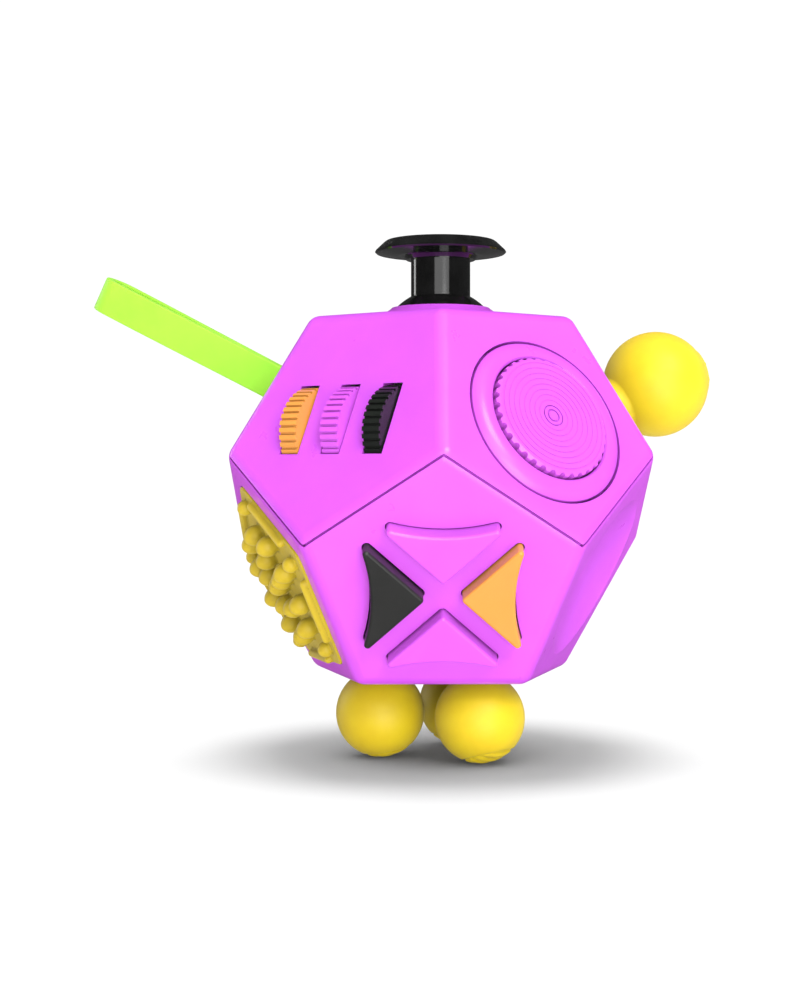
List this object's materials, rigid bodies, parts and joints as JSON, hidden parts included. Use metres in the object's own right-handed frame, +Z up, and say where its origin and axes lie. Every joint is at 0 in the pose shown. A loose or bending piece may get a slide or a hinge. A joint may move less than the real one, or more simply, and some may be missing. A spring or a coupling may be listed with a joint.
{
  "type": "twelve-sided fidget toy",
  "caption": "Twelve-sided fidget toy with a joystick, thumb gears, a dial, corner buttons, a massage pad, a strap, a squeeze ball and a spinner of balls to stand on.",
  "frame": {"origin": "on the desk the toy stands on, straight under the middle of its body", "axes": "+Z up, -Y toward the face with the four buttons (the front), +X to the right"},
  "size_m": [0.094, 0.0622, 0.0746],
  "materials": {
    "casing_pink": "satin injection-moulded",
    "orange_plastic": "satin",
    "black_plastic": "gloss",
    "dark_grey_plastic": "matt",
    "yellow_silicone": "soft satin",
    "lime_silicone": "soft satin",
    "white_nylon": "matt",
    "clear_silicone": "matt",
    "steel": "bright"
  },
  "bodies": {
    "casing": {"upper_casing": "casing_pink", "lower_casing": "casing_pink", "tie_screw": "steel", "joystick_housing": "dark_grey_plastic", "joystick_screws": "steel", "joystick_spring": "steel", "gear_bracket": "white_nylon", "gear_axle": "steel", "gear_screws": "steel", "dial_bezel": "casing_pink", "button_membrane": "clear_silicone", "button_backplate": "white_nylon", "button_screws": "steel", "massage_pad": "yellow_silicone", "strap_pin": "steel", "bearing_inner_ring": "steel", "bearing_balls": "steel", "rocker_frame": "casing_pink", "rocker_pin": "steel", "rocker_leaf_spring": "steel", "slider_track": "casing_pink", "slider_cover": "white_nylon", "clicker_sleeve": "casing_pink", "clicker_spring": "steel"},
    "joystick_yoke": {"joystick_yoke": "white_nylon"},
    "joystick": {"joystick_stick": "black_plastic", "joystick_cap": "black_plastic", "joystick_pin": "steel"},
    "orange_gear": {"orange_gear": "orange_plastic"},
    "pink_gear": {"pink_gear": "casing_pink"},
    "black_gear": {"black_gear": "black_plastic"},
    "dial": {"dial_disc": "casing_pink", "dial_washer": "white_nylon", "dial_screw": "steel"},
    "right_button": {"right_button": "orange_plastic"},
    "upper_button": {"upper_button": "casing_pink"},
    "left_button": {"left_button": "dark_grey_plastic"},
    "lower_button": {"lower_button": "casing_pink"},
    "spinner": {"spinner_rotor": "casing_pink", "bearing_outer_ring": "steel", "left_foot_ball": "yellow_silicone", "right_foot_ball": "yellow_silicone", "rear_foot_ball": "yellow_silicone", "spinner_cap": "yellow_silicone"},
    "squeeze_ball": {"squeeze_ball": "yellow_silicone"},
    "strap": {"wrist_strap": "lime_silicone"},
    "rocker": {"rocker_switch": "dark_grey_plastic"},
    "slider": {"slider_knob": "orange_plastic", "slider_clip": "white_nylon"},
    "clicker": {"clicker_button": "yellow_silicone", "clicker_clip": "steel"}
  },
  "joints": [
    {"name": "joystick_tilt_forward", "type": "hinge", "parent": "casing", "child": "joystick_yoke", "pos_m": [0, 0, 0.05872], "axis": [1, 0, 0], "range_deg": [-13, 13], "stiffness_Nm_per_rad": 0.004, "deforming": ["joystick_spring"]},
    {"name": "joystick_tilt_sideways", "type": "hinge", "parent": "joystick_yoke", "child": "joystick", "pos_m": [0, 0, 0.05872], "axis": [0, 1, 0], "range_deg": [-13, 13], "stiffness_Nm_per_rad": 0.004, "deforming": ["joystick_spring"]},
    {"name": "orange_gear_roll", "type": "hinge", "parent": "casing", "child": "orange_gear", "pos_m": [-0.01725, -0.01166, 0.04644], "axis": [0.809, -0.5878, 0], "continuous": true},
    {"name": "pink_gear_roll", "type": "hinge", "parent": "casing", "child": "pink_gear", "pos_m": [-0.01151, -0.01584, 0.04644], "axis": [0.809, -0.5878, 0], "continuous": true},
    {"name": "black_gear_roll", "type": "hinge", "parent": "casing", "child": "black_gear", "pos_m": [-0.00576, -0.02001, 0.04644], "axis": [0.809, -0.5878, 0], "continuous": true},
    {"name": "dial_turn", "type": "hinge", "parent": "casing", "child": "dial", "pos_m": [0.014, -0.01884, 0.04805], "axis": [0.5257, -0.7236, 0.4472], "continuous": true},
    {"name": "right_button_press", "type": "slide", "parent": "casing", "child": "right_button", "axis": [0, 0.8944, 0.4472], "range_m": [0, 0.0009], "stiffness_N_per_m": 150, "deforming": ["button_membrane"]},
    {"name": "upper_button_press", "type": "slide", "parent": "casing", "child": "upper_button", "axis": [0, 0.8944, 0.4472], "range_m": [0, 0.0009], "stiffness_N_per_m": 150, "deforming": ["button_membrane"]},
    {"name": "left_button_press", "type": "slide", "parent": "casing", "child": "left_button", "axis": [0, 0.8944, 0.4472], "range_m": [0, 0.0009], "stiffness_N_per_m": 150, "deforming": ["button_membrane"]},
    {"name": "lower_button_press", "type": "slide", "parent": "casing", "child": "lower_button", "axis": [0, 0.8944, 0.4472], "range_m": [0, 0.0009], "stiffness_N_per_m": 150, "deforming": ["button_membrane"]},
    {"name": "spinner_spin", "type": "hinge", "parent": "casing", "child": "spinner", "pos_m": [0, 0, 0.0121], "axis": [0, 0, 1], "continuous": true},
    {"name": "squeeze_ball_press", "type": "slide", "parent": "casing", "child": "squeeze_ball", "axis": [-0.8507, -0.2764, -0.4472], "range_m": [0, 0.0025], "stiffness_N_per_m": 300, "deforming": ["squeeze_ball"]},
    {"name": "strap_swing", "type": "hinge", "parent": "casing", "child": "strap", "pos_m": [-0.01672, 0.00543, 0.05042], "axis": [-0.4253, 0.1382, -0.8944], "range_deg": [-15, 15]},
    {"name": "rocker_tip", "type": "hinge", "parent": "casing", "child": "rocker", "pos_m": [0, 0.02157, 0.04849], "axis": [-1, 0, 0], "range_deg": [-18, 0]},
    {"name": "slider_slide", "type": "slide", "parent": "casing", "child": "slider", "axis": [-0.809, -0.5878, 0], "range_m": [-0.0035, 0.0035]},
    {"name": "clicker_press", "type": "slide", "parent": "casing", "child": "clicker", "axis": [-0.5257, -0.7236, 0.4472], "range_m": [0, 0.0025], "stiffness_N_per_m": 150, "deforming": ["clicker_spring"]}
  ]
}
